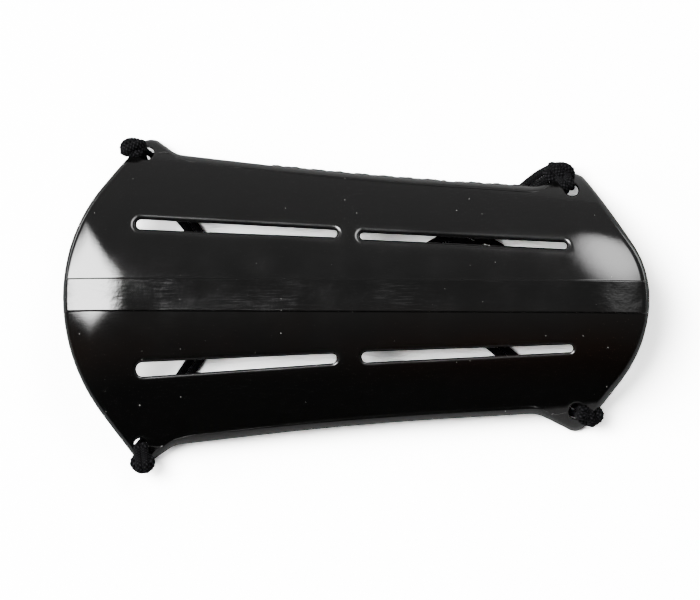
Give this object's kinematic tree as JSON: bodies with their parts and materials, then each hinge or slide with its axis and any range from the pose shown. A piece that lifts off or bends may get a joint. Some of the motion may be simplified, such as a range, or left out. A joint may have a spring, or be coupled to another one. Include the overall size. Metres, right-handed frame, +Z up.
{
  "type": "arm guard",
  "caption": "Arched black plastic forearm guard with a raised string band, long vent slots, corner ears and doubled elastic cords knotted at the ears.",
  "frame": {"origin": "centre of the shell's box on the surface that the four ears stand on", "axes": "+X towards the wrist end, +Y towards the far long edge in the picture, +Z up through the crown"},
  "size_m": [0.18, 0.1047, 0.0275],
  "materials": {
    "moulded_plastic": "glossy moulded plastic with fine scuffs along the string band",
    "braided_cord": "braided textile cover over elastic"
  },
  "bodies": {
    "root": {"guard_shell": "moulded_plastic", "elbow_far_knot": "braided_cord", "elbow_near_knot": "braided_cord", "wrist_far_knot": "braided_cord", "wrist_near_knot": "braided_cord", "wrist_join_knot": "braided_cord", "elbow_strand_a": "braided_cord", "elbow_strand_b": "braided_cord", "wrist_far_strand_a": "braided_cord", "wrist_far_strand_b": "braided_cord", "wrist_near_strand_a": "braided_cord", "wrist_near_strand_b": "braided_cord"}
  },
  "joints": []
}
